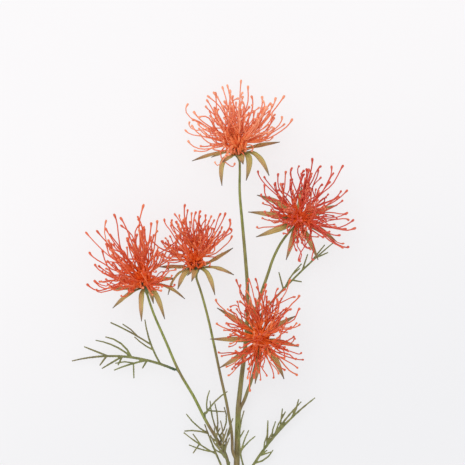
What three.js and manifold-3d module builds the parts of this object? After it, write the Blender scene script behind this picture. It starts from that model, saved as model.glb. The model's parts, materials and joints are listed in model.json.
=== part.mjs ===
// A cut spray of grevillea, laid down on a surface: one main stem that forks into five flower stems,
// eight feathery leaves and sprigs, and on each flower stem a swollen receptacle, a whorl of eight
// bracts and a burst of long styles. Millimetres, +Z up. It is laid out from the cut end of the main
// stem, with +Y towards the flowers, and the finished group is centred over its footprint.
import * as THREE from "three";
import { mergeVertices } from "three/addons/utils/BufferGeometryUtils.js";
import Module from "manifold-3d";

const wasm = await Module();
wasm.setup();

// ---- Driving dimensions -------------------------------------------------------------------------
const STEM_RADIUS = { cut: 3.8, fork: 2.7, flower: 1.15 };
const MAIN_STEM_ROUTE = [[0, 0, 3.8], [-0.8, 60, 3.5], [-0.2, 115, 3.6], [1.4, 172, 7]];
const GAP = 0.35; // between pieces that grow from each other
const RECEPTACLE = {
  length: 14,
  widest: 5.2,
  profile: [[14, 1.15], [10.5, 1.9], [7.5, 3.7], [4.5, 5], [2.2, 5.2], [0, 4]], // back from its face, radius
};
const BRACT = {
  base: 1.7, // half widths
  breadth: 3.3,
  tip: 0.35,
  thickness: 0.55,
  thinning: 0.45, // share of the thickness that is lost by the tip
  below: 5.2, // from the receptacle's face
  spread: 0.42, // how far it first runs outwards, as a share of its reach
  rise: 0.05,
  twist: 0.75, // by its tip it has turned this share of the way to lying flat
};
const CORE = { radius: 6.8, depth: 4.2, sides: 10, rings: 6 }; // on the receptacle, under the styles
const STYLE = {
  root: 1.25,
  tip: 0.8,
  reach: 50,
  count: 7,
  lowest: 14, // degrees above the receptacle's face
  highest: 78,
  bow: 0.13,
  bowAt: 0.55,
};
const LOBE = { root: 1.15, tip: 0.95, flatness: 0.65, narrowing: 0.8 };
const FLOOR_SOFTNESS = 5; // soft pieces bend from this height down, to lie along the surface

const GREEN = { stem: "#7f8443", leaf: "#6d7442", bract: "#b08d4f" };
const STYLE_COLOURS = {
  top: "#ef6a43",
  right: "#d8402c",
  left: "#e4532f",
  middle: "#de4a30",
  lower: "#e04a26",
};

// ---- Shared shapes ------------------------------------------------------------------------------
const point = (x, y, z) => new THREE.Vector3(x, y, z);

// Soft pieces that would pass below the surface bend and lie along it.
function onSurface(height) {
  const lift = THREE.MathUtils.clamp(height + FLOOR_SOFTNESS, 0, 2 * FLOOR_SOFTNESS);
  return Math.max(height, lift ** 2 / (4 * FLOOR_SOFTNESS));
}

function evenStations(steps) {
  return Array.from({ length: steps + 1 }, (_, i) => i / steps);
}

// A closed tapering tube: the rings of a unit cylinder are laid along a curve at the given stations.
// breadth, depth and side give the half widths at a station and the way that the breadth runs there.
function tubeAlong(curve, stations, sides, { breadth, depth = breadth, side, soft = true }) {
  const steps = stations.length - 1;
  const tube = new THREE.CylinderGeometry(1, 1, 1, sides, steps);
  const rings = [];
  let across = point(1, 0.2, 0.1);
  for (const at of stations) {
    const along = curve.getTangentAt(at);
    if (side) across = side(at);
    const ringSide = across.clone().addScaledVector(along, -across.dot(along)).normalize();
    across = ringSide;
    const through = new THREE.Vector3().crossVectors(ringSide, along);
    const centre = curve.getPointAt(at);
    if (soft) centre.z = onSurface(centre.z - depth(at)) + depth(at);
    rings.push({ centre, ringSide, through, at });
  }
  const places = tube.getAttribute("position");
  for (let i = 0; i < places.count; i++) {
    const ring = rings[Math.round((places.getY(i) + 0.5) * steps)];
    const place = ring.centre.clone()
      .addScaledVector(ring.ringSide, places.getX(i) * breadth(ring.at))
      .addScaledVector(ring.through, places.getZ(i) * depth(ring.at));
    places.setXYZ(i, place.x, place.y, place.z);
  }
  return tube;
}

function solidOf(geometry) {
  const bare = geometry.clone().deleteAttribute("normal").deleteAttribute("uv");
  const merged = mergeVertices(bare, 1e-4);
  return new wasm.Manifold(new wasm.Mesh({
    numProp: 3,
    vertProperties: merged.attributes.position.array,
    triVerts: new Uint32Array(merged.index.array),
  }));
}

// One closed body made of tubes that grow out of each other.
function grownTogether(geometries) {
  const [first, ...others] = geometries.map(solidOf);
  const mesh = others.reduce((body, next) => body.add(next), first).getMesh();
  const joined = new THREE.BufferGeometry();
  joined.setAttribute("position", new THREE.BufferAttribute(mesh.vertProperties, mesh.numProp));
  joined.setIndex(new THREE.BufferAttribute(mesh.triVerts, 1));
  joined.computeVertexNormals();
  return joined;
}

function piece(name, geometry, colour, roughness) {
  const material = new THREE.MeshStandardMaterial({ color: colour, roughness, metalness: 0 });
  const mesh = new THREE.Mesh(geometry, material);
  mesh.name = name;
  return mesh;
}

// ---- Stems --------------------------------------------------------------------------------------
const STEM_SIDES = 8;
const STEM_STEP = 11; // between rings

function curveThrough(points) {
  return new THREE.CatmullRomCurve3(points.map((p) => point(...p)));
}

// The main stem lies on the surface from its cut end and lifts a little towards the fork.
function mainStem() {
  const curve = curveThrough(MAIN_STEM_ROUTE);
  const radius = (at) => THREE.MathUtils.lerp(STEM_RADIUS.cut, STEM_RADIUS.fork, at);
  const steps = Math.round(curve.getLength() / STEM_STEP);
  const tube = tubeAlong(curve, evenStations(steps), STEM_SIDES, { breadth: radius, soft: false });
  return piece("main_stem", tube, GREEN.stem, 0.6);
}

function receptacleRadius(back) {
  const { profile } = RECEPTACLE;
  const next = Math.max(1, profile.findIndex(([distance]) => distance <= back + 1e-6));
  const [far, wide] = profile[next - 1];
  const [near, narrow] = profile[next];
  return THREE.MathUtils.mapLinear(back, far, near, wide, narrow);
}

// A flower stem tapers from its root and swells at its end into the receptacle that carries the flower.
function flowerStem(flower) {
  const seat = point(...flower.seat);
  const below = seat.clone().addScaledVector(flower.axis, -RECEPTACLE.length);
  const curve = curveThrough([...flower.route, below.toArray(), seat.toArray()]);
  const length = curve.getLength();
  const plain = length - RECEPTACLE.length;
  const stations = evenStations(Math.round(plain / STEM_STEP)).map((at) => (at * plain) / length);
  stations.push(...RECEPTACLE.profile.slice(1).map(([back]) => (length - back) / length));
  const radius = (at) => {
    const back = length * (1 - at);
    if (back < RECEPTACLE.length) return receptacleRadius(back);
    return THREE.MathUtils.mapLinear(back, length, RECEPTACLE.length, flower.root, STEM_RADIUS.flower);
  };
  const tube = tubeAlong(curve, stations, STEM_SIDES, { breadth: radius, soft: false });
  return piece(`${flower.name}_flower_stem`, tube, GREEN.stem, 0.6);
}

// ---- Bracts -------------------------------------------------------------------------------------
const BRACT_STEPS = 7;
const BRACT_SIDES = 4;

// A lance-shaped blade, narrow where it grows, widest before its middle and drawn out to a point.
function bractBreadth(at) {
  const swell = Math.max(0, Math.sin(Math.PI * at ** 0.72)) ** 0.85;
  return THREE.MathUtils.lerp(THREE.MathUtils.lerp(BRACT.base, BRACT.tip, at), BRACT.breadth, swell);
}

function bract(flower, offset, turn, index) {
  const { frame, axis } = flower;
  const outward = frame.right.clone()
    .multiplyScalar(Math.cos(turn))
    .addScaledVector(frame.front, Math.sin(turn));
  const root = point(...flower.seat)
    .addScaledVector(axis, -BRACT.below)
    .addScaledVector(outward, RECEPTACLE.widest + BRACT.thickness + GAP);
  const tip = point(...flower.seat).add(offset);
  const reach = tip.clone().sub(root).length();
  const bend = root.clone()
    .addScaledVector(outward, reach * BRACT.spread)
    .addScaledVector(axis, reach * BRACT.rise);
  const curve = new THREE.QuadraticBezierCurve3(root, bend, tip);
  const run = tip.clone().sub(root);
  const rootSide = new THREE.Vector3().crossVectors(axis, run).normalize();
  const flatSide = new THREE.Vector3().crossVectors(point(0, 0, 1), run).normalize();
  if (flatSide.dot(rootSide) < 0) flatSide.negate();
  const side = (at) => rootSide.clone().lerp(flatSide, BRACT.twist * at).normalize();
  const depth = (at) => BRACT.thickness * (1 - BRACT.thinning * at);
  const stations = evenStations(BRACT_STEPS);
  const blade = tubeAlong(curve, stations, BRACT_SIDES, { breadth: bractBreadth, depth, side });
  return piece(`${flower.name}_bract_${index + 1}`, blade, GREEN.bract, 0.7);
}

// The bracts grow evenly round the receptacle, turned so that each is near the way its tip lies.
function whorl(flower) {
  const { right, front } = flower.frame;
  const heading = (offset) => Math.atan2(offset.dot(front), offset.dot(right));
  const offsets = flower.bracts.map((tip) => point(...tip)).sort((a, b) => heading(a) - heading(b));
  const spacing = (2 * Math.PI) / offsets.length;
  const lean = offsets.reduce((sum, offset, i) => sum + heading(offset) - i * spacing, 0) / offsets.length;
  return offsets.map((offset, i) => bract(flower, offset, lean + i * spacing, i));
}

// ---- Styles -------------------------------------------------------------------------------------
const STYLE_SIDES = 4;
const STYLE_STEPS = 3;
const GOLDEN_ANGLE = Math.PI * (3 - Math.sqrt(5));

// A style leaves the core low, bows outwards and turns up towards its tip.
function styleTo(tip, core, axis) {
  const chord = tip.clone().sub(core);
  const sideways = Math.sqrt(Math.max(0, 1 - (chord.dot(axis) / chord.length()) ** 2));
  const bend = core.clone()
    .addScaledVector(chord, STYLE.bowAt)
    .addScaledVector(axis, -STYLE.bow * chord.length() * sideways);
  const curve = new THREE.QuadraticBezierCurve3(core, bend, tip);
  const breadth = (at) => THREE.MathUtils.lerp(STYLE.root, STYLE.tip, at);
  return tubeAlong(curve, evenStations(STYLE_STEPS), STYLE_SIDES, { breadth });
}

// The styles fill a dome: long single ones where the flower has them, and even ones between.
function styles(flower) {
  const { frame, axis } = flower;
  const seat = point(...flower.seat);
  const core = seat.clone().addScaledVector(axis, CORE.depth + GAP);
  const tips = flower.longStyles.map((offset) => seat.clone().add(point(...offset)));
  const lowest = Math.sin(THREE.MathUtils.degToRad(STYLE.lowest));
  const highest = Math.sin(THREE.MathUtils.degToRad(STYLE.highest));
  for (let i = 0; i < STYLE.count; i++) {
    const rise = THREE.MathUtils.lerp(highest, lowest, i / (STYLE.count - 1));
    const turn = i * GOLDEN_ANGLE;
    const level = Math.sqrt(1 - rise * rise);
    tips.push(core.clone()
      .addScaledVector(axis, rise * STYLE.reach)
      .addScaledVector(frame.right, Math.cos(turn) * level * STYLE.reach)
      .addScaledVector(frame.front, Math.sin(turn) * level * STYLE.reach));
  }
  const ball = new THREE.SphereGeometry(CORE.radius, CORE.sides, CORE.rings);
  ball.scale(1, CORE.depth / CORE.radius, 1);
  ball.applyQuaternion(new THREE.Quaternion().setFromUnitVectors(point(0, 1, 0), axis));
  ball.translate(core.x, core.y, core.z);
  const burst = grownTogether([ball, ...tips.map((tip) => styleTo(tip, core, axis))]);
  return piece(`${flower.name}_styles`, burst, STYLE_COLOURS[flower.name], 0.5);
}

// ---- Leaves -------------------------------------------------------------------------------------
// A leaf is divided into narrow lobes. Each lobe starts a share of the way along its parent, runs by
// the given offset to its tip, and bows to the left of its way by the given amount.
const lobe = (at, offset, bow, ...lobes) => ({ at, offset, bow, lobes });
const LOBE_STEP = 9;
const LOBE_SIDES = 4;

function lobeTubes(start, { offset, bow, lobes }, root) {
  const run = point(...offset);
  const left = point(-run.y, run.x, 0).normalize();
  const end = start.clone().add(run);
  const bend = start.clone().addScaledVector(run, 0.5).addScaledVector(left, 2 * bow);
  const curve = new THREE.QuadraticBezierCurve3(start, bend, end);
  const steps = Math.max(2, Math.round(curve.getLength() / LOBE_STEP));
  const breadth = (at) => THREE.MathUtils.lerp(root, LOBE.tip, at ** 3);
  const tube = tubeAlong(curve, evenStations(steps), LOBE_SIDES, {
    breadth,
    depth: (at) => breadth(at) * LOBE.flatness,
    side: () => left,
  });
  const nextRoot = Math.max(LOBE.root, root * LOBE.narrowing);
  const tubes = [tube];
  for (const child of lobes) tubes.push(...lobeTubes(curve.getPoint(child.at), child, nextRoot));
  return tubes;
}

function leaf({ name, start, root, whole }) {
  return piece(name, grownTogether(lobeTubes(point(...start), whole, root)), GREEN.leaf, 0.65);
}

const LEAVES = [
  { // the large leaf on the left flower stem
    name: "left_leaf", start: [-61.5, 209.6, 18], root: 1.7,
    whole: lobe(0, [-104.8, 8.5, -13], -9,
      lobe(0.15, [-15.5, 45, 6], 2.5,
        lobe(0.33, [-18.9, 13.5, 4], 1),
        lobe(0.45, [-40.9, 22.4, 0], -1, lobe(0.34, [-15.2, 12.6, 5], -1))),
      lobe(0.28, [-4.6, -8, 9], 0),
      lobe(0.28, [-33.6, -10.3, -6], -1,
        lobe(0.38, [-19, 0, 5], -1.5),
        lobe(0.4, [0.4, -15.3, -2], 0)),
      lobe(0.43, [-26.5, 20.8, 5], -4.5),
      lobe(0.43, [-36.4, 17.2, 0], -3),
      lobe(0.52, [-20.7, -12.3, 2], 0),
      lobe(0.52, [-4.2, -8.8, 7], 0),
      lobe(0.66, [-23.7, 9.6, 4], 0),
      lobe(0.67, [-6.9, -9.5, 5], 0)),
  },
  { // a darker leaf that leaves the main stem low on the left
    name: "lower_left_leaf", start: [-6, 92, 5], root: 1.4,
    whole: lobe(0, [-26.6, 63, 3], 1,
      lobe(0.52, [-33, 22, 1], 1,
        lobe(0.45, [-8.3, 11.9, 4], 0),
        lobe(0.5, [-6.5, -9.2, 2], 0)),
      lobe(0.55, [-27, 7.5, -2], 1),
      lobe(0.85, [-22, 20, 4], 1.8),
      lobe(0.85, [-24, 2.4, 0], -1.5)),
  },
  { // a sprig of three lobes at a node of the left flower stem
    name: "left_sprig", start: [-31.3, 165.4, 15.5], root: 1.25,
    whole: lobe(0, [21.9, 22.8, 4], 2,
      lobe(0.08, [2.6, 21.8, 6], 1.6),
      lobe(0.12, [17.2, -1.4, -5], 0)),
  },
  { // two lobes that stand up between the left and middle flower stems
    name: "inner_sprig", start: [-15.5, 138.5, 6.5], root: 1.2,
    whole: lobe(0, [-11.6, 40, 1], 2.5,
      lobe(0.22, [-2.6, 29, 4], -1.5),
      lobe(0.1, [4.6, 30, 4], -4.5)),
  },
  { // a short crowded leaf on the left of the main stem
    name: "centre_leaf", start: [-7.4, 116, 12.2], root: 1.3,
    whole: lobe(0, [-15.5, 36, 4], 4,
      lobe(0.2, [5.5, 19.7, 6], 1),
      lobe(0.3, [-1.5, 33.7, 6], -2, lobe(0.4, [4, 12, 3], 0)),
      lobe(0.12, [-6, 26, 2], -1),
      lobe(0.18, [8.5, 40, 5], 2,
        lobe(0.5, [4, 10, 3], -1)),
      lobe(0.3, [-10, 8, 4], 1),
      lobe(0.4, [-9.6, 15.5, 3], 1),
      lobe(0.45, [8.5, 13, 6], -1),
      lobe(0.55, [0.5, 17.4, 2], 1),
      lobe(0.75, [5, 10, 3], 0),
      lobe(0.65, [-8.5, 6.4, 5], 0)),
  },
  { // the long leaf that leaves the main stem on the right
    name: "right_leaf", start: [7.4, 98, 5], root: 1.7,
    whole: lobe(0, [71.3, 83.5, 5], 6,
      lobe(0.2, [12, 11.4, 2], 2,
        lobe(0.35, [12.6, 4.4, 2], 0),
        lobe(0.75, [4.2, 19, 5], 1)),
      lobe(0.18, [19, 13.6, 0], -3),
      lobe(0.38, [0.9, 25.5, 5], 0),
      lobe(0.41, [3.4, 10.7, 6], 1),
      lobe(0.41, [32.6, 41.6, 3], 1.5,
        lobe(0.1, [3.8, 17.4, 5], 1),
        lobe(0.22, [8.2, 17.8, 5], 1),
        lobe(0.38, [2.2, 18.2, 5], 0, lobe(0.4, [4.6, 7.8, 1], 0))),
      lobe(0.72, [7, 19, 4], -1)),
  },
  { // a sprig on the right of the main stem, just below the fork
    name: "right_sprig", start: [6.6, 112, 8], root: 1.3,
    whole: lobe(0, [0.6, 57, 7], 4.6,
      lobe(0.22, [8.4, 24.6, 3], 1),
      lobe(0.26, [15.4, 16.2, 2], 1),
      lobe(0.5, [5, 8.6, 4], 0),
      lobe(0.5, [-2.6, 12, 5], -1)),
  },
  { // the leaf that passes behind the two right-hand flowers
    name: "upper_right_leaf", start: [21.5, 262, 8.5], root: 1.5,
    whole: lobe(0, [76.5, 76.1, 0], 2.6,
      lobe(0.35, [-4.6, 17.5, 4], 0),
      lobe(0.37, [17, 24.4, 5], 1.5, lobe(0.5, [8, 6.6, -2], 0)),
      lobe(0.47, [9.7, -1.8, 4], 0),
      lobe(0.6, [5.5, 16.5, 3], 0),
      lobe(0.7, [14.9, 18.5, 4], 0),
      lobe(0.77, [12.9, 5.6, -4], 0)),
  },
];

// ---- Flowers ------------------------------------------------------------------------------------
// seat is the middle of the receptacle's face and axis the way the flower looks. route is the run of
// its stem up to the receptacle. The bracts and the long styles are given by where their tips lie from
// the seat.
const FLOWERS = [
  {
    name: "top", seat: [1, 431, 37], axis: [-0.12, 0.96, 0.25], root: 2.5,
    route: [[1.5, 173.4, 7.1], [4.6, 202, 8], [7.6, 226, 9], [10.4, 262, 12], [10.4, 294, 16],
      [8.4, 322, 21], [5.6, 354, 26], [2.7, 388, 31]],
    bracts: [[42, 7, -10], [31, -27, 8], [8, -32, 20], [5, -16, 35], [-15, -14, 33], [-16, -37, 8],
      [-46, -12, -8], [-27, -8, -27]],
    longStyles: [[3, 69, 4], [-11, 64, 12], [-16, 63, -6], [4, 56, 20], [13, 54, -10], [23, 53, 10],
      [46, 54, 0], [33, 45, 14], [33, 36, 20], [54, 31, 2], [26, 43, -18], [-49, 46, 2], [-44, 38, 12],
      [-46, 30, -8], [-39, 21, 18], [-50, 9, 4], [-32, 43, 16], [-31, 50, -4], [-22, 57, 4],
      [-26, 2, 26], [10, 30, -40], [-22, 34, -38], [30, 22, -34]],
  },
  {
    name: "right", seat: [61, 361, 28], axis: [0.2, 0.5, 0.84], root: 1.8,
    route: [[13.6, 247, 12.6], [16.8, 262, 14], [22.5, 281, 15], [30.4, 304, 17], [37.4, 324, 18],
      [47.5, 342, 18.5]],
    bracts: [[40, 14, -22], [4, 33, -32], [-41, 24, -12], [-50, 7, 0], [-42, -18, 4], [-12, -41, 8],
      [20, -41, 6], [39, -23, -4]],
    longStyles: [[-40, 48, 12], [-34, 42, 20], [-20, 45, 24], [-7, 49, 22], [8, 50, 20], [14, 61, 10],
      [23, 53, 16], [45, 54, 8], [32, 37, 24], [49, 29, 16], [44, 19, 22], [48, 5, 18], [58, -8, 8],
      [42, -16, 16], [51, -27, 4], [25, -18, 28], [12, -30, 20], [2, -42, 8], [-15, -14, 32],
      [-41, -7, 12], [-33, 8, 24], [-35, 17, 14]],
  },
  {
    name: "left", seat: [-93, 298, 37], axis: [-0.25, 0.93, 0.28], root: 1.7,
    route: [[-6.4, 103, 7.5], [-11.6, 124.5, 9], [-20.4, 140, 10.5], [-31, 158, 13], [-43, 182, 16],
      [-58, 208, 20], [-72, 240, 25], [-84, 268, 30]],
    bracts: [[31, 3, -25], [41, -17, -4], [21, -37, 6], [-2, -39, 14], [-31, -26, 6], [-36, -6, -14],
      [-14, -12, -31], [9, -22, -29]],
    longStyles: [[0, 78, 4], [-58, 51, 0], [-54, 31, 12], [-57, -1, 4], [-49, 3, 18], [-46, 17, -10],
      [-38, 55, 6], [-24, 65, 0], [-7, 66, 14], [7, 60, 18], [13, 62, -8], [-37, 39, 24], [28, 8, 26],
      [31, -1, 12], [17, -7, 32], [9, -11, 30], [-22, -12, 26], [-34, -3, 24], [-12, 36, -40],
      [18, 30, -37], [-38, 22, -30]],
  },
  {
    name: "middle", seat: [-42, 316, 34], axis: [-0.1, 0.98, 0.12], root: 1.5,
    route: [[-4.3, 127, 9.6], [-5.4, 147, 10], [-7.6, 160, 11], [-10.8, 178, 13], [-16.6, 204, 16],
      [-22.4, 232, 20], [-29, 262, 25], [-36, 288, 29.5]],
    bracts: [[38, 16, -10], [39, -11, -6], [20, -31, 10], [-3, -17, 34], [-17, -25, 16], [-27, -31, -6],
      [-36, -3, -18], [-8, -12, -30]],
    longStyles: [[-30, 46, 4], [-20, 51, 12], [-9, 60, 6], [-3, 52, 18], [1, 53, -10], [10, 50, 14],
      [19, 45, 18], [30, 52, 4], [34, 46, -4], [23, 26, 24], [28, 27, 10], [16, 27, 30], [-35, 10, 8],
      [-32, 24, 16], [6, 34, -38], [-18, 30, -34]],
  },
  {
    name: "lower", seat: [23, 241, 32], axis: [0.0, 0.34, 0.94], root: 1.7,
    route: [[7.4, 179, 8.9], [10.4, 187.5, 9.3], [14, 197, 9.8], [17.4, 210, 11], [21, 225, 13.5]],
    bracts: [[36, 23, -10], [-20, 47, -6], [-43, 31, -2], [-50, 0, 2], [-41, -29, 4], [-5, -45, -3],
      [24, -40, 4], [39, -8, -4]],
    longStyles: [[-24, 60, 10], [-12, 61, 16], [-5, 61, 8], [6, 49, 24], [18, 51, 20], [30, 60, 8],
      [39, 44, 14], [31, 30, 28], [36, 17, 26], [38, -5, 24], [41, -13, 14], [36, -19, 20],
      [37, -36, 8], [13, -38, 18], [16, -16, 32], [0, -40, 16], [-10, -52, 10], [-15, -19, 30],
      [-32, -36, 10], [-34, -27, 16], [-36, 10, 24], [-44, 40, 8], [-32, 30, 22], [-23, 38, 26]],
  },
];

function flowerFrame(axis) {
  const right = point(1, 0, 0).addScaledVector(axis, -axis.x).normalize();
  return { right, front: new THREE.Vector3().crossVectors(right, axis) };
}

// ---- The whole spray ----------------------------------------------------------------------------
const spray = new THREE.Group();
spray.name = "grevillea_spray";
spray.add(mainStem());
for (const described of FLOWERS) {
  const axis = point(...described.axis).normalize();
  const flower = { ...described, axis, frame: flowerFrame(axis) };
  const head = new THREE.Group();
  head.name = `${flower.name}_flower`;
  head.add(flowerStem(flower));
  head.add(...whorl(flower));
  head.add(styles(flower));
  spray.add(head);
}
for (const described of LEAVES) spray.add(leaf(described));

const footprint = new THREE.Box3().setFromObject(spray, true);
const middle = footprint.getCenter(new THREE.Vector3());
spray.position.set(-middle.x, -middle.y, -footprint.min.z);

export default spray;
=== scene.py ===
import json
from math import cos, pi, radians, sin

import bpy
import numpy as np
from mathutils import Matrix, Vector

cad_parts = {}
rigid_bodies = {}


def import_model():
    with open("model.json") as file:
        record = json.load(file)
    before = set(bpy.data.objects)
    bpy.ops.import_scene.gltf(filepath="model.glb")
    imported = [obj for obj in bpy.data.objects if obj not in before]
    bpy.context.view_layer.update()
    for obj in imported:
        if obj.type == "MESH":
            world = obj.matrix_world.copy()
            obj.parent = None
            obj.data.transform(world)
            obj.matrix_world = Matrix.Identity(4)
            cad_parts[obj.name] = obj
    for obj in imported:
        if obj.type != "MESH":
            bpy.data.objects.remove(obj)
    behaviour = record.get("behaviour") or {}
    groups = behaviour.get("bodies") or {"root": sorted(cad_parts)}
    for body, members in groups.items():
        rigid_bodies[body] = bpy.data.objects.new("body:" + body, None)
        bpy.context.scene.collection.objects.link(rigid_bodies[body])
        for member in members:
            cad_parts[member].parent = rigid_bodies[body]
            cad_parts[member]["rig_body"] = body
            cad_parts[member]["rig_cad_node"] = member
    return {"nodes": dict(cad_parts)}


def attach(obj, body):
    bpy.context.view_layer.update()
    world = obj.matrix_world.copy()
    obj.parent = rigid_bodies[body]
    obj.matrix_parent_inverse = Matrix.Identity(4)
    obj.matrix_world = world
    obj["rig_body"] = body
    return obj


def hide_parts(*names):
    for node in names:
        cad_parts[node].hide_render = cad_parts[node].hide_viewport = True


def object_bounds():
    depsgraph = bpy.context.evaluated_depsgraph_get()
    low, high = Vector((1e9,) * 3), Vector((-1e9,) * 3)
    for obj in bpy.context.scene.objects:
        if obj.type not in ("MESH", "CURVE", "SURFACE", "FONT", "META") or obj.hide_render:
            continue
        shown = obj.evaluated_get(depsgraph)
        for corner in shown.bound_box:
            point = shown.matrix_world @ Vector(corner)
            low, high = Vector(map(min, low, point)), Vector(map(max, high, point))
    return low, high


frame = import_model()
CAD_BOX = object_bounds()


# ---- The main stem ------------------------------------------------------------------------------
# A woody green stem as thick as a pencil, cut straight across at its lower end, where its pale pith
# shows. All the flower stems and leaves grow out of it.
MM = 0.001
CUP_REACH = 8 * MM  # the dark green of a receptacle fades into the stem over this length
LINE_STEPS = 8  # places on a stem's middle line for each ring of the CAD stem


def colour(code):
    """A linear colour from an sRGB hex code."""
    parts = [int(code[i:i + 2], 16) / 255 for i in (1, 3, 5)]
    return (*(c / 12.92 if c <= 0.04045 else ((c + 0.055) / 1.055) ** 2.4 for c in parts), 1.0)


def node(material, kind, values=(), links=(), stops=(), **settings):
    """Adds a node with its settings, its sockets' values, its incoming links and its ramp's stops."""
    made = material.node_tree.nodes.new(kind)
    for name, value in settings.items():
        setattr(made, name, value)
    for socket, value in dict(values).items():
        made.inputs[socket].default_value = value
    for socket, source in dict(links).items():
        output = source.outputs[0] if isinstance(source, bpy.types.Node) else source
        material.node_tree.links.new(output, made.inputs[socket])
    for number, (place, code) in enumerate(stops):
        element = made.color_ramp.elements[number] if number < 2 else made.color_ramp.elements.new(place)
        element.position, element.color = place, colour(code)
    return made


# Living stem skin: waxy and olive green, so that it shines softly along its length, with brown
# stretches where it has dried, fine ridges, and a dark bluish green where it swells under a flower.
SKIN = bpy.data.materials.new("green_stem_skin")
SKIN.use_nodes = True
SKIN.node_tree.nodes.clear()
where = node(SKIN, "ShaderNodeTexCoord").outputs["Object"]
drawn_out = node(SKIN, "ShaderNodeMapping", {"Scale": (1, 0.12, 1)}, {"Vector": where})
grain = node(SKIN, "ShaderNodeTexNoise", {"Scale": 700, "Detail": 2}, {"Vector": drawn_out})
patchy = node(SKIN, "ShaderNodeTexNoise", {"Scale": 17, "Detail": 3}, {"Vector": where})
dried = node(SKIN, "ShaderNodeMapRange", {"From Min": 0.42, "From Max": 0.6}, {"Value": patchy})
woody = node(SKIN, "ShaderNodeAttribute", attribute_name="woody")
brownness = node(SKIN, "ShaderNodeMath", {}, {0: dried, 1: woody.outputs["Fac"]}, operation="MULTIPLY")
green = node(SKIN, "ShaderNodeValToRGB", {}, {"Fac": grain}, ((0.35, "#727c39"), (0.65, "#99a055")))
brown = node(SKIN, "ShaderNodeValToRGB", {}, {"Fac": grain}, ((0.35, "#71603f"), (0.65, "#8f7a54")))
skin = node(SKIN, "ShaderNodeMix", {}, {0: brownness, 6: green, 7: brown}, data_type="RGBA")
cup = node(SKIN, "ShaderNodeAttribute", attribute_name="cup")
skin = node(SKIN, "ShaderNodeMix", {7: colour("#3d5038")}, {0: cup.outputs["Fac"], 6: skin.outputs[2]},
            data_type="RGBA")
ridges = node(SKIN, "ShaderNodeBump", {"Distance": 0.12 * MM}, {"Height": grain})
sheen = node(SKIN, "ShaderNodeMapRange", {"To Min": 0.4, "To Max": 0.62}, {"Value": grain})
shader = node(SKIN, "ShaderNodeBsdfPrincipled", {"IOR": 1.45},
              {"Base Color": skin.outputs[2], "Roughness": sheen, "Normal": ridges})
node(SKIN, "ShaderNodeOutputMaterial", {}, {"Surface": shader})

# Pith: pale, dry and quite matt.
PITH = bpy.data.materials.new("pale_pith")
PITH.use_nodes = True
PITH.node_tree.nodes.clear()
where = node(PITH, "ShaderNodeTexCoord").outputs["Object"]
fibres = node(PITH, "ShaderNodeTexNoise", {"Scale": 2500}, {"Vector": where})
pale = node(PITH, "ShaderNodeValToRGB", {}, {"Fac": fibres}, ((0.3, "#b9ab78"), (0.7, "#d9cf9f")))
fluff = node(PITH, "ShaderNodeBump", {"Distance": 0.1 * MM}, {"Height": fibres})
shader = node(PITH, "ShaderNodeBsdfPrincipled", {"Roughness": 0.9}, {"Base Color": pale, "Normal": fluff})
node(PITH, "ShaderNodeOutputMaterial", {}, {"Surface": shader})


def deselect():
    """Nothing is selected and no object is active."""
    bpy.ops.object.select_all(action="DESELECT")
    bpy.context.view_layer.objects.active = None


def merged_copy(name):
    """A copy of a CAD node with its loose triangles joined, alone selected and active."""
    solid = frame["nodes"][name].copy()
    solid.data = solid.data.copy()
    bpy.context.scene.collection.objects.link(solid)
    deselect()
    solid.hide_set(False)
    solid.select_set(True)
    bpy.context.view_layer.objects.active = solid
    bpy.ops.object.mode_set(mode="EDIT")
    bpy.ops.mesh.select_all(action="SELECT")
    bpy.ops.mesh.remove_doubles(threshold=0.002 * MM)
    bpy.ops.object.mode_set(mode="OBJECT")
    return solid


def spine(name, start_near):
    """The ring centres and radii of a CAD tube, from the flat end nearest to a point."""
    solid = merged_copy(name)
    mesh = solid.data
    linked = [set() for _ in mesh.vertices]
    for edge in mesh.edges:
        a, b = edge.vertices
        linked[a].add(b)
        linked[b].add(a)
    flat = [[] for _ in mesh.vertices]
    for face in mesh.polygons:
        for corner in face.vertices:
            flat[corner].append(face.normal.copy())
    caps = [v.index for v in mesh.vertices
            if all(n.dot(flat[v.index][0]) > 0.9995 for n in flat[v.index])]
    places = [v.co.copy() for v in mesh.vertices]
    first = min(caps, key=lambda i: (places[i] - Vector(start_near)).length)
    seen = {first}
    ring = {first}
    rings = []
    while ring:
        ring = {j for i in ring for j in linked[i]} - seen
        if len(ring) > 1:
            centre = sum((places[i] for i in ring), Vector()) / len(ring)
            radius = sum((places[i] - centre).length for i in ring) / len(ring)
            widest = max(((places[i] - centre) for i in ring), key=lambda arm: arm.length)
            rings.append((centre, radius, widest))
        seen |= ring
    bpy.data.objects.remove(solid)
    return rings


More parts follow.
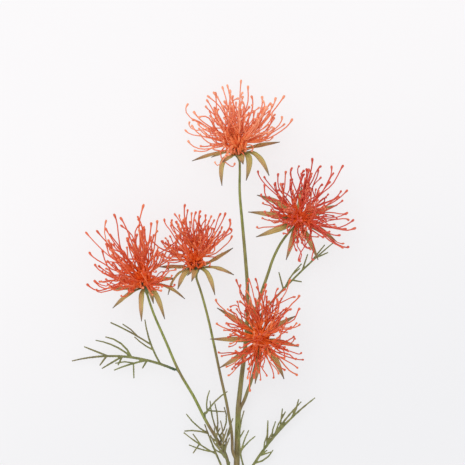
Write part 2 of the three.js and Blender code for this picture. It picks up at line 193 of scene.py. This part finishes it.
def swept_stem(name, places, thicknesses, seat=None):
    """A round stem through the places, smooth between them, with closed ends."""
    deselect()
    bpy.ops.curve.primitive_bezier_curve_add()
    path = bpy.context.object
    path.name = name
    path.data.dimensions = "3D"
    path.data.bevel_depth = 1.0
    path.data.bevel_resolution = 4
    path.data.resolution_u = 6
    path.data.use_fill_caps = True
    spline = path.data.splines[0]
    spline.bezier_points.add(len(places) - 2)
    for knot, place, thickness in zip(spline.bezier_points, places, thicknesses):
        knot.co = place
        knot.radius = thickness
        knot.handle_left_type = knot.handle_right_type = "AUTO"
    bpy.ops.object.convert(target="MESH")
    bpy.ops.object.transform_apply(location=True, rotation=True, scale=True)
    bpy.ops.object.shade_smooth_by_angle(angle=radians(40))
    stem = bpy.context.object
    points = np.array([v.co for v in stem.data.vertices])
    height = (points[:, 1] - CAD_BOX[0].y) / (CAD_BOX[1].y - CAD_BOX[0].y)
    # The lower third can dry right through to brown, and the upper part by less than half.
    woodiness = np.clip(1.7 - 2 * height, 0.45, 1)
    stem.data.attributes.new("woody", "FLOAT", "POINT").data.foreach_set("value", woodiness)
    away = np.linalg.norm(points - np.array(seat if seat else places[0]), axis=1)
    swollen = np.clip(1.7 - away / CUP_REACH, 0, 1) if seat else away * 0
    stem.data.attributes.new("cup", "FLOAT", "POINT").data.foreach_set("value", swollen)
    stem.data.materials.clear()
    stem.data.materials.append(SKIN)
    return stem


def centre_line(rings):
    """Places close together along the middle of a stem."""
    return [a[0].lerp(b[0], share / LINE_STEPS)
            for a, b in zip(rings, rings[1:]) for share in range(LINE_STEPS)]


rings = spine("main_stem", (0, CAD_BOX[0].y, 0))
CUT_END = rings[0][0]
STEM_LINES = [centre_line(rings)]
stem = swept_stem("main_stem_skin", [r[0] for r in rings], [r[1] for r in rings])
stem.data.materials.append(PITH)
for face in stem.data.polygons:
    if face.normal.y < -0.9:
        face.material_index = 1
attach(stem, "root")
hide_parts("main_stem")


# ---- The flower stems ---------------------------------------------------------------------------
# Five thinner stems that grow out of the main one or out of each other. Each runs to a flower and
# swells there into the dark green receptacle that holds bracts and styles.
HEADS = ("top", "right", "left", "middle", "lower")
SEATS = {}  # where each flower sits on its stem
AXES = {}  # which way each flower faces
# A fork starts inside its parent stem, this many places below where it comes out, and has left the
# parent's middle line by the second of these.
FORK_START, FORK_LEAVES = 18, 10


def way_up_to(foot):
    """Places along the middle of the stem nearest to a foot, from its lowest up to beside the foot."""
    line = min(STEM_LINES, key=lambda places: min((place - foot).length for place in places))
    nearest = min(range(len(line)), key=lambda i: (line[i] - foot).length)
    return line[:nearest + 1]


for head in HEADS:
    rings = spine(f"{head}_flower_stem", (CUT_END.x, CAD_BOX[0].y, 0))
    SEATS[head] = rings[-1][0]
    AXES[head] = (rings[-1][0] - rings[-2][0]).normalized()
    root, thickness = rings[0][0], rings[0][1]
    parent = way_up_to(root)
    deep, near = parent[-FORK_START:][0], parent[-FORK_LEAVES:][0]
    places = [deep, near.lerp(root, 0.25)] + [r[0] for r in rings]
    thicknesses = [thickness * 0.8, thickness] + [r[1] for r in rings]
    STEM_LINES.append(parent + centre_line(rings))
    stem = swept_stem(f"{head}_stem_skin", places, thicknesses, SEATS[head])
    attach(stem, "root")
    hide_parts(f"{head}_flower_stem")


# ---- The bracts ---------------------------------------------------------------------------------
# Under each head spread eight dry pointed bracts, thin as card, whose feet are grown into the
# receptacle. Each is folded along a midrib and twists as it runs out to its withered point.
BRACT_LENGTH = 45 * MM
BRACT_WIDTH = 7 * MM
BRACT_THICKNESS = 0.5 * MM
BRACT_ROOT = 5 * MM  # how far below the seat of a flower its bracts are grown on
BRACTS_A_HEAD = 8
CHANCE = np.random.default_rng(11)

# Dry bract: papery and matt, olive on one side of the midrib and on its edges, pinkish tan on the
# other, dark green at its foot and dark brown at its point, with lengthwise veins that catch light.
TISSUE = bpy.data.materials.new("dry_bract_tissue")
TISSUE.use_nodes = True
TISSUE.node_tree.nodes.clear()
along = node(TISSUE, "ShaderNodeAttribute", attribute_name="along").outputs["Fac"]
across = node(TISSUE, "ShaderNodeAttribute", attribute_name="across").outputs["Fac"]
tint = node(TISSUE, "ShaderNodeAttribute", attribute_name="tint").outputs["Fac"]
where = node(TISSUE, "ShaderNodeTexCoord").outputs["Object"]
mottle = node(TISSUE, "ShaderNodeTexNoise", {"Scale": 160, "Detail": 3}, {"Vector": where})
ochre = node(TISSUE, "ShaderNodeValToRGB", {}, {"Fac": along}, (
    (0.0, "#44583c"), (1.0, "#5e5243"),
    (0.13, "#8b9650"), (0.34, "#cbbc6e"), (0.62, "#ccb36f"), (0.88, "#98825a")))
pink = node(TISSUE, "ShaderNodeValToRGB", {}, {"Fac": along}, (
    (0.0, "#4c5a3c"), (1.0, "#6a5646"),
    (0.16, "#9a8f52"), (0.34, "#c79f68"), (0.7, "#d6a07a"), (0.88, "#a67e60")))
olive = node(TISSUE, "ShaderNodeValToRGB", {}, {"Fac": along}, (
    (0.0, "#3c5039"), (1.0, "#50483c"), (0.2, "#727e3d"), (0.7, "#8c8c48"), (0.9, "#77704a")))
one_side = node(TISSUE, "ShaderNodeMapRange", {"From Min": -0.6, "From Max": 0.6}, {"Value": across})
pinkness = node(TISSUE, "ShaderNodeMath", {}, {0: one_side, 1: tint}, operation="MULTIPLY")
body = node(TISSUE, "ShaderNodeMix", {}, {0: pinkness, 6: ochre, 7: pink}, data_type="RGBA")
from_rib = node(TISSUE, "ShaderNodeMath", {}, {0: across}, operation="ABSOLUTE")
rim = node(TISSUE, "ShaderNodeMapRange", {"From Min": 0.5, "From Max": 1.0}, {"Value": from_rib})
rim = node(TISSUE, "ShaderNodeMath", {}, {0: rim, 1: mottle}, operation="MULTIPLY")
body = node(TISSUE, "ShaderNodeMix", {}, {0: rim, 6: body.outputs[2], 7: olive}, data_type="RGBA")
# About nine veins lie side by side from edge to edge.
vein_angle = node(TISSUE, "ShaderNodeMath", {1: 28.0}, {0: across}, operation="MULTIPLY")
veins = node(TISSUE, "ShaderNodeMath", {}, {0: vein_angle}, operation="COSINE")
darkened = node(TISSUE, "ShaderNodeMapRange", {"From Min": 0.2, "From Max": 1.0, "To Max": 0.22}, {"Value": veins})
body = node(TISSUE, "ShaderNodeMix", {7: colour("#6f5c36")}, {0: darkened, 6: body.outputs[2]}, data_type="RGBA")
relief = node(TISSUE, "ShaderNodeBump", {"Distance": 0.08 * MM}, {"Height": veins})
dullness = node(TISSUE, "ShaderNodeMapRange", {"To Min": 0.5, "To Max": 0.75}, {"Value": mottle})
shader = node(TISSUE, "ShaderNodeBsdfPrincipled", {"IOR": 1.42},
              {"Base Color": body.outputs[2], "Roughness": dullness, "Normal": relief})
node(TISSUE, "ShaderNodeOutputMaterial", {}, {"Surface": shader})


def model_bract():
    """One straight bract along +Y from the origin, face up, shaped from a plain grid."""
    deselect()
    bpy.ops.mesh.primitive_grid_add(x_subdivisions=6, y_subdivisions=16, size=2)
    blade = bpy.context.object
    for v in blade.data.vertices:
        across, along = v.co.x, (v.co.y + 1) / 2
        half = BRACT_WIDTH / 2 * max(0.0, sin(pi * min(1, along * 0.98 + 0.02) ** 0.72)) ** 0.8
        half = max(half, (0.26 * (1 - along) + 0.05) * BRACT_WIDTH)
        fold = 0.34 * abs(across) * half
        midrib = 0.35 * MM * max(0.0, 1 - abs(across) * 3)
        waves = 0.35 * MM * sin(along * 17 + across * 2) * abs(across) * sin(pi * along)
        v.co = (across * half, along * BRACT_LENGTH, fold - midrib + waves)
    bpy.ops.object.modifier_add(type="SOLIDIFY")
    blade.modifiers[-1].thickness = BRACT_THICKNESS
    blade.modifiers[-1].offset = 0
    bpy.ops.object.modifier_apply(modifier=blade.modifiers[-1].name)
    bpy.ops.object.mode_set(mode="EDIT")
    bpy.ops.mesh.select_all(action="SELECT")
    bpy.ops.mesh.normals_make_consistent(inside=False)
    bpy.ops.object.mode_set(mode="OBJECT")
    return blade


def shape_of(model, length, shades=(0.0, 1.0)):
    """A modelled piece's points and faces, how far along each point is, and where it lies among the
    material's lengthwise shades. The model is then put away."""
    points = np.array([v.co for v in model.data.vertices])
    faces = [tuple(f.vertices) for f in model.data.polygons]
    bpy.data.objects.remove(model)
    along = points[:, 1] / length
    return {"points": points, "along": along, "shade": np.interp(along, (0, 1), shades), "faces": faces}


def laid(shape, route, across, girth=1.0, roll=0.0):
    """The shape's points laid along a route, with its X to the way across, and rolled by its tip."""
    last = len(route) - 1
    at = np.clip(shape["along"], 0, 1) * last
    before = np.minimum(at.astype(int), last - 1)
    share = (at - before)[:, None]
    centre = route[before] * (1 - share) + route[before + 1] * share
    ways = np.gradient(route, axis=0)
    ways /= np.linalg.norm(ways, axis=1)[:, None]
    way = ways[before] * (1 - share) + ways[before + 1] * share
    across = np.broadcast_to(across, route.shape)
    side = across[before] * (1 - share) + across[before + 1] * share
    side = side - way * (way * side).sum(axis=1)[:, None]
    side /= np.linalg.norm(side, axis=1)[:, None]
    up = np.cross(side, way)
    turn = roll * shape["along"][:, None]
    side, up = side * np.cos(turn) + up * np.sin(turn), up * np.cos(turn) - side * np.sin(turn)
    return centre + side * shape["points"][:, :1] * girth + up * shape["points"][:, 2:] * girth


def piece_from(name, copies, material):
    """One mesh of laid copies. Each copy is its shape, its points and a tint from 0 to 1."""
    points, faces, along, across, tint = [], [], [], [], []
    for shape, places, own_tint in copies:
        start = len(points)
        points.extend(map(tuple, places))
        faces.extend(tuple(start + corner for corner in face) for face in shape["faces"])
        along.extend(shape["shade"])
        across.extend(shape["points"][:, 0] / max(1e-9, abs(shape["points"][:, 0]).max()))
        tint.extend([own_tint] * len(places))
    mesh = bpy.data.meshes.new(name)
    mesh.from_pydata(points, [], faces)
    for label, values in (("along", along), ("across", across), ("tint", tint)):
        mesh.attributes.new(label, "FLOAT", "POINT").data.foreach_set("value", np.array(values, np.float32))
    mesh.shade_smooth()
    mesh.materials.append(material)
    made = bpy.data.objects.new(name, mesh)
    bpy.context.scene.collection.objects.link(made)
    return made


def bract_run(name, head):
    """The middle line of a CAD bract, and which way its blade lies across at each place on it."""
    rings = spine(name, SEATS[head] - AXES[head] * BRACT_ROOT)
    route = np.array([r[0] for r in rings])
    arms = np.array([r[2].normalized() for r in rings[:-1]] + [rings[-2][2].normalized()])
    for i in range(1, len(arms)):
        arms[i] *= 1 if arms[i] @ arms[i - 1] > 0 else -1
    middle = len(arms) // 2
    upward = np.cross(arms[middle], route[-1] - route[0])
    arms *= 1 if upward[2] + 0.5 * upward @ np.array(AXES[head]) > 0 else -1
    fine = np.linspace(0, len(route) - 1, 19)
    route, arms = (np.array([np.interp(fine, range(len(rings)), values[:, k]) for k in range(3)]).T
                   for values in (route, arms))
    # The root is carried back into the receptacle that the bract grows from.
    return np.vstack([route[0] - (route[1] - route[0]) * 0.8, route]), np.vstack([arms[0], arms])


BRACT = shape_of(model_bract(), BRACT_LENGTH)
for head in HEADS:
    for number in range(1, BRACTS_A_HEAD + 1):
        name = f"{head}_bract_{number}"
        route, facing = bract_run(name, head)
        places = laid(BRACT, route, facing, CHANCE.uniform(0.78, 0.96), CHANCE.uniform(-0.25, 0.25))
        blade = piece_from(f"{name}_blade", [(BRACT, places, CHANCE.uniform(0.3, 1))], TISSUE)
        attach(blade, "root")
        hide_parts(name)


# ---- The styles ---------------------------------------------------------------------------------
# Each head is a burst of more than a hundred waxy styles, thin as thick thread. They grow in sprigs:
# a thick strand leaves the crowded middle and soon parts into a handful of styles, which bow outwards
# and hook upwards, each to a small rounded knob. Short spent ones curl over the bracts.
STYLE_LENGTH = 45 * MM
STYLE_RADIUS = 0.66 * MM
STRAND_LENGTH = 16 * MM
STRAND_RADIUS = 1.3 * MM
FORK = (7 * MM, 15 * MM)  # how far out a strand parts into styles
SHORTEST_TIP = 20 * MM  # a CAD style that reaches out less than this is part of the crowded middle
TIPS_APART = 2.5 * MM
RECEPTACLE_SIDE = 4.3 * MM
SOFT_FLOOR = 5 * MM  # a style starts to bend upwards this far above the surface
SIDE_ON = np.array((0.3, 0.2, 1.0))  # a thread's side faces this way, as nearly as its run allows

# Style wax: smooth and softly shining, clear orange in the crowded middle, redder along the style,
# paler at the knob. From one style to the next it runs from deep to light.
WAX = {}
for head, (name, root, body, knob, pale, deep) in {
        "top": ("salmon_orange_style_wax", "#fb8a4c", "#f58a60", "#fba47e", "#ffb996", "#de5430"),
        "right": ("deep_red_style_wax", "#f36624", "#dc5240", "#dc5c48", "#f4986e", "#b82c18"),
        "left": ("orange_red_style_wax", "#f4691f", "#e66038", "#e86b48", "#f79a66", "#bc3614"),
        "lower": ("fiery_orange_style_wax", "#f57424", "#e6603a", "#e66c4a", "#f9a066", "#bc3a16")}.items():
    wax = bpy.data.materials.new(name)
    wax.use_nodes = True
    wax.node_tree.nodes.clear()
    along = node(wax, "ShaderNodeAttribute", attribute_name="along").outputs["Fac"]
    tint = node(wax, "ShaderNodeAttribute", attribute_name="tint").outputs["Fac"]
    shade = node(wax, "ShaderNodeValToRGB", {}, {"Fac": along}, (
        (0.0, root), (1.0, knob), (0.2, root), (0.5, body), (0.88, body), (0.94, knob)))
    lighter = node(wax, "ShaderNodeMapRange", {"From Min": 0.55, "From Max": 1.0, "To Max": 0.55}, {"Value": tint})
    darker = node(wax, "ShaderNodeMapRange", {"From Min": 0.4, "From Max": 0.0, "To Max": 0.45}, {"Value": tint})
    shade = node(wax, "ShaderNodeMix", {7: colour(pale)}, {0: lighter, 6: shade}, data_type="RGBA")
    shade = node(wax, "ShaderNodeMix", {7: colour(deep)}, {0: darker, 6: shade.outputs[2]}, data_type="RGBA")
    where = node(wax, "ShaderNodeTexCoord").outputs["Object"]
    waviness = node(wax, "ShaderNodeTexNoise", {"Scale": 1800}, {"Vector": where})
    relief = node(wax, "ShaderNodeBump", {"Distance": 0.05 * MM}, {"Height": waviness})
    gloss = node(wax, "ShaderNodeMapRange", {"To Min": 0.42, "To Max": 0.58}, {"Value": waviness})
    shader = node(wax, "ShaderNodeBsdfPrincipled", {"IOR": 1.4},
                  {"Base Color": shade.outputs[2], "Roughness": gloss, "Normal": relief})
    node(wax, "ShaderNodeOutputMaterial", {}, {"Surface": shader})
    WAX[head] = wax
WAX["middle"] = WAX["left"]


def model_thread(radius, length, profile, sides=5):
    """A straight thread along +Y from the origin, whose profile says how many radii thick it is and
    how far along."""
    deselect()
    bpy.ops.mesh.primitive_circle_add(vertices=sides, radius=radius, rotation=(-pi / 2, 0, 0))
    thread = bpy.context.object
    bpy.ops.object.transform_apply(rotation=True)
    bpy.ops.object.mode_set(mode="EDIT")
    bpy.ops.mesh.select_all(action="SELECT")
    bpy.ops.mesh.edge_face_add()
    reached, girth = 0.0, 1.0
    for along, wanted in profile:
        step = (along - reached) * length
        if step:
            bpy.ops.mesh.extrude_region_move(TRANSFORM_OT_translate={"value": (0, step, 0)})
        grow = wanted / girth
        bpy.ops.transform.resize(value=(grow, grow, grow), center_override=(0, along * length, 0))
        reached, girth = along, wanted
    bpy.ops.mesh.select_all(action="SELECT")
    bpy.ops.mesh.normals_make_consistent(inside=False)
    bpy.ops.object.mode_set(mode="OBJECT")
    return thread


STYLE = shape_of(model_thread(STYLE_RADIUS, STYLE_LENGTH, [
    (0.0, 1.45), (0.1, 1.3), (0.22, 1.1), (0.36, 1.0), (0.5, 0.97), (0.64, 0.95), (0.78, 0.93),
    (0.88, 0.97), (0.92, 1.25), (0.95, 1.8), (0.975, 1.95), (0.995, 1.2)]), STYLE_LENGTH, (0.2, 1.0))
STRAND = shape_of(model_thread(STRAND_RADIUS, STRAND_LENGTH, [
    (0.0, 1.2), (0.25, 1.15), (0.5, 1.0), (0.75, 0.85), (1.0, 0.62)], 6), STRAND_LENGTH, (0.0, 0.3))


def unit(vector):
    """The same way, one metre long."""
    return vector / np.linalg.norm(vector)


def scattered(spread):
    """A small step some way, of about the given size."""
    return CHANCE.normal(0, spread, 3)


def style_tips(name, core):
    """The ends of the CAD burst's styles: the points that are farther out than all around them."""
    solid = merged_copy(name)
    places = np.array([v.co for v in solid.data.vertices])
    reach = np.linalg.norm(places - core, axis=1)
    beaten = np.zeros(len(places), bool)
    for edge in solid.data.edges:
        a, b = edge.vertices
        beaten[a if reach[a] < reach[b] else b] = True
    bpy.data.objects.remove(solid)
    tips = []
    for i in np.argsort(-reach):
        far = not beaten[i] and reach[i] > SHORTEST_TIP
        if far and all(np.linalg.norm(places[i] - tip) > TIPS_APART for tip in tips):
            tips.append(places[i])
    return tips


def above_surface(route, clearance):
    """Bends a route upwards where it would pass below the surface."""
    lift = np.clip(route[:, 2] - clearance + SOFT_FLOOR, 0, 2 * SOFT_FLOOR)
    route[:, 2] = np.maximum(route[:, 2], lift ** 2 / (4 * SOFT_FLOOR) + clearance)
    return route


def bowed(start, leave, end, arrive, sway=0.0, steps=15, pull=0.42):
    """A smooth way that leaves its start one way and comes to its end another, swaying a little."""
    length = np.linalg.norm(end - start)
    t = np.linspace(0, 1, steps)[:, None]
    first = start + leave * length * pull
    last = end - arrive * length * pull * 0.9
    route = start * (1 - t) ** 3 + 3 * first * t * (1 - t) ** 2 + 3 * last * t ** 2 * (1 - t) + end * t ** 3
    return above_surface(route + sway * np.sin(t * pi * 2.3) * t * (1 - t) * 2.4, 0.7 * MM)


def strand(route):
    """A strand along a route, of even colour."""
    return STRAND, laid(STRAND, route, SIDE_ON, CHANCE.uniform(0.85, 1.15)), CHANCE.uniform(0.25, 0.65)


def style(route):
    """A style along a route, as light or deep as it happens to be."""
    return STYLE, laid(STYLE, route, SIDE_ON, CHANCE.uniform(0.85, 1.15)), CHANCE.uniform(0, 1)


def sprig(core, axis, tip):
    """A strand from the core, and the styles that it parts into. The longest one ends at the tip."""
    way = unit(tip - core)
    reach = np.linalg.norm(tip - core)
    slant = max(0.0, 1 - way @ axis)
    outward = unit(way - axis * (way @ axis) + axis * 0.001)
    root = core + way * 2 * MM + outward * 1.5 * MM - axis * 1.5 * MM
    leave = unit(way + (outward * 0.55 - axis * 0.3) * slant + scattered(0.16))
    fork = core + unit(way + leave * 0.8) * CHANCE.uniform(*FORK)
    parts = [strand(bowed(root, leave, fork, unit(way + leave), steps=7))]
    hook = unit(way * 0.6 + axis * (0.2 + 0.8 * slant) + scattered(0.25))
    ends = [(tip, hook)]
    for follower in range(CHANCE.integers(3, 6)):
        drift = unit(way + scattered(0.3) + axis * 0.12)
        drift = unit(drift + axis * max(0.0, -0.12 - drift @ axis))
        turned = unit(drift * 0.7 + axis * CHANCE.uniform(-0.1, 1.3) * (0.3 + slant) + scattered(0.35))
        ends.append((core + drift * reach * CHANCE.uniform(0.58, 0.97), turned))
    for end, arrive in ends:
        leaving = unit(unit(fork - core) + (unit(end - fork) - way) * 0.4 + (outward * 0.5 - axis * 0.25) * slant
                       + scattered(0.12))
        parts.append(style(bowed(fork, leaving, end, arrive, scattered(2 * MM))))
    return parts


def foot_of_head(core, axis):
    """In and round the middle of a head, thick short strands, and spent styles that curl over the bracts."""
    parts = []
    right = unit(np.cross(axis, (0.1, 0.2, 1.0)))
    for place in range(42):
        turn = 2 * pi * (place + CHANCE.uniform(-0.4, 0.4)) / 14
        outward = right * cos(turn) + np.cross(axis, right) * sin(turn)
        if place % 3 == 0:  # a strand that clasps the receptacle
            start = core + outward * RECEPTACLE_SIDE - axis * CHANCE.uniform(5, 9) * MM
            end = (start + outward * CHANCE.uniform(3, 7) * MM + axis * CHANCE.uniform(4, 10) * MM
                   + scattered(MM))
            parts.append(strand(bowed(start, unit(outward + axis), end, unit(outward * 0.5 + axis), steps=7)))
        elif place % 3 == 1:  # a strand that fills the middle
            start = core + outward * CHANCE.uniform(0, 2) * MM - axis * 2 * MM
            end = (start + outward * CHANCE.uniform(0, 8) * MM + axis * CHANCE.uniform(5, 13) * MM
                   + scattered(2 * MM))
            parts.append(strand(bowed(start, axis, end, unit(outward + axis + scattered(0.4)), steps=7)))
        else:  # a spent style that curls back over the bracts
            start = core + outward * RECEPTACLE_SIDE - axis * CHANCE.uniform(1, 8) * MM
            end = (start + outward * CHANCE.uniform(4, 9) * MM - axis * CHANCE.uniform(-1, 5) * MM
                   + scattered(MM))
            back = unit(-outward * CHANCE.uniform(0.2, 1.2) - axis * 0.6 + scattered(0.4))
            parts.append(style(bowed(start, unit(outward + axis * CHANCE.uniform(0.3, 1)), end, back, pull=0.9)))
    return parts


for head in HEADS:
    seat, axis = np.array(SEATS[head]), np.array(AXES[head])
    core = seat + axis * 4 * MM
    copies = [part for tip in style_tips(f"{head}_styles", core) for part in sprig(core, axis, tip)]
    burst = piece_from(f"{head}_style_burst", copies + foot_of_head(core, axis), WAX[head])
    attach(burst, "root")
    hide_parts(f"{head}_styles")


# ---- The leaves ---------------------------------------------------------------------------------
# Feathery leaves, each divided into narrow stiff lobes with blunt points. Each grows from a stem on
# a short stalk.
LEAVES = ("left_leaf", "lower_left_leaf", "left_sprig", "inner_sprig", "centre_leaf", "right_leaf",
          "right_sprig", "upper_right_leaf")
STALK_REACH = 11 * MM  # the dark of a young stalk fades into the leaf over this length
STALK_ROOT = 4  # places down inside the parent stem where a stalk starts
FOOT_SIZE = 3.2 * MM
VOXEL = 0.36 * MM
LOBE_SHRINK = 0.17 * MM  # so that crowded lobes part from each other

# Stiff leaf: matt olive green, finely mottled, with dried brown stretches, and a dark bluish green
# on the young stalk.
LEAF = bpy.data.materials.new("stiff_leaf_tissue")
LEAF.use_nodes = True
LEAF.node_tree.nodes.clear()
where = node(LEAF, "ShaderNodeTexCoord").outputs["Object"]
mottle = node(LEAF, "ShaderNodeTexNoise", {"Scale": 260, "Detail": 3}, {"Vector": where})
patchy = node(LEAF, "ShaderNodeTexNoise", {"Scale": 34, "Detail": 2}, {"Vector": where})
dried = node(LEAF, "ShaderNodeMapRange", {"From Min": 0.45, "From Max": 0.68, "To Max": 0.75}, {"Value": patchy})
green = node(LEAF, "ShaderNodeValToRGB", {}, {"Fac": mottle}, ((0.3, "#666c3c"), (0.7, "#8e9059")))
brown = node(LEAF, "ShaderNodeValToRGB", {}, {"Fac": mottle}, ((0.3, "#6d6045"), (0.7, "#8c7a58")))
body = node(LEAF, "ShaderNodeMix", {}, {0: dried, 6: green, 7: brown}, data_type="RGBA")
stalk = node(LEAF, "ShaderNodeAttribute", attribute_name="stalk")
body = node(LEAF, "ShaderNodeMix", {7: colour("#45593c")}, {0: stalk.outputs["Fac"], 6: body.outputs[2]},
            data_type="RGBA")
relief = node(LEAF, "ShaderNodeBump", {"Distance": 0.12 * MM}, {"Height": mottle})
dullness = node(LEAF, "ShaderNodeMapRange", {"To Min": 0.5, "To Max": 0.7}, {"Value": mottle})
shader = node(LEAF, "ShaderNodeBsdfPrincipled", {"IOR": 1.42},
              {"Base Color": body.outputs[2], "Roughness": dullness, "Normal": relief})
node(LEAF, "ShaderNodeOutputMaterial", {}, {"Surface": shader})

for name in LEAVES:
    foliage = merged_copy(name)
    foliage.name = f"{name}_lobes"
    points = np.array([v.co for v in foliage.data.vertices])
    foot = points[points[:, 0].argmax() if name == "left_leaf" else points[:, 1].argmin()]
    foot = Vector(points[np.linalg.norm(points - foot, axis=1) < FOOT_SIZE].mean(axis=0))
    parent = way_up_to(foot)
    inside, outside = parent[-STALK_ROOT:][0], parent[-1]
    stalk = swept_stem(f"{name}_stalk", [inside, outside.lerp(foot, 0.6), foot],
                       [1.6 * MM, 1.5 * MM, 1.2 * MM])
    foliage.select_set(True)
    stalk.select_set(True)
    bpy.context.view_layer.objects.active = foliage
    bpy.ops.object.join()
    for kind, settings in (("REMESH", {"mode": "VOXEL", "voxel_size": VOXEL}),
                           ("DISPLACE", {"strength": -LOBE_SHRINK, "mid_level": 0}),
                           ("SMOOTH", {"factor": 0.4, "iterations": 2})):
        bpy.ops.object.modifier_add(type=kind)
        for key, value in settings.items():
            setattr(foliage.modifiers[-1], key, value)
        bpy.ops.object.modifier_apply(modifier=foliage.modifiers[-1].name)
    bpy.ops.object.shade_smooth()
    points = np.array([v.co for v in foliage.data.vertices])
    young = 1.0 if name == "left_leaf" else 0.25
    near_foot = young * np.clip(1.4 - np.linalg.norm(points - np.array(foot), axis=1) / STALK_REACH, 0, 1)
    foliage.data.attributes.new("stalk", "FLOAT", "POINT").data.foreach_set("value", near_foot)
    foliage.data.materials.clear()
    foliage.data.materials.append(LEAF)
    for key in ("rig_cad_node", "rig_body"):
        if key in foliage:
            del foliage[key]
    foliage.parent = None
    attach(foliage, "root")
    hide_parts(name)


# ---- The surface, the light and the camera ------------------------------------------------------
# The spray lies on a pale sheet under broad soft light, and is seen from straight above. The sheet
# fills the view, and its light from below keeps shadows faint.
FRAME_WIDTH = 465 * MM
CAMERA_HEIGHT = 4.0
MID_HEIGHT = 30 * MM
STEM_BELOW_VIEW = 115 * MM
VIEW_CENTRE = Vector((CUT_END.x - 4.5 * MM, CAD_BOX[0].y + STEM_BELOW_VIEW + FRAME_WIDTH / 2, 0))

# Translucent sheet: matt white, glowing evenly as on a light table, with painted shade that makes it a little
# darker to one corner, where the room light falls off.
SHEET = bpy.data.materials.new("pale_backlit_sheet_painted_falloff")
SHEET.use_nodes = True
SHEET.node_tree.nodes.clear()
where = node(SHEET, "ShaderNodeTexCoord").outputs["Object"]
place = node(SHEET, "ShaderNodeVectorMath", {0: (0, 0, 0), 1: (-0.4, 1.0, 0)}, {0: where}, operation="DOT_PRODUCT")
# Painted shade: the glow is darker towards the lower right of the view, standing in for the room light falling off
# across the sheet.
painted_falloff = node(SHEET, "ShaderNodeMapRange", {"From Min": VIEW_CENTRE.y - 0.3, "From Max": VIEW_CENTRE.y + 0.16},
            {"Value": place.outputs["Value"]}, interpolation_type="SMOOTHSTEP")
glow_with_painted_falloff = node(SHEET, "ShaderNodeValToRGB", {}, {"Fac": painted_falloff}, ((0.0, "#d4d4d6"), (1.0, "#dedcdd")))
shader = node(SHEET, "ShaderNodeBsdfPrincipled",
              {"Roughness": 0.9, "Base Color": colour("#7c7c7d"), "Emission Strength": 1.0},
              {"Emission Color": glow_with_painted_falloff})
node(SHEET, "ShaderNodeOutputMaterial", {}, {"Surface": shader})

deselect()
bpy.ops.mesh.primitive_plane_add(size=12, location=(0, 0, 0))
sheet = bpy.context.object
sheet.name = "pale_sheet"
sheet.data.materials.append(SHEET)

world = bpy.data.worlds.new("soft_room")
world.use_nodes = True
world.node_tree.nodes["Background"].inputs["Color"].default_value = (1.0, 1.0, 1.0, 1.0)
world.node_tree.nodes["Background"].inputs["Strength"].default_value = 0.9
bpy.context.scene.world = world
bpy.ops.object.light_add(type="AREA", location=(-0.7, 0.9, 1.7))
lamp = bpy.context.object
lamp.data.size = 1.4
lamp.data.energy = 9
lamp.rotation_euler = (VIEW_CENTRE - lamp.location).to_track_quat("-Z", "Y").to_euler()

bpy.ops.object.camera_add(location=VIEW_CENTRE + Vector((0, 0, CAMERA_HEIGHT)), rotation=(0, 0, 0))
camera = bpy.context.object
camera.data.sensor_width = 36
camera.data.lens = 36 * (CAMERA_HEIGHT - MID_HEIGHT) / FRAME_WIDTH
bpy.context.scene.camera = camera
bpy.context.scene.view_settings.view_transform = "Standard"
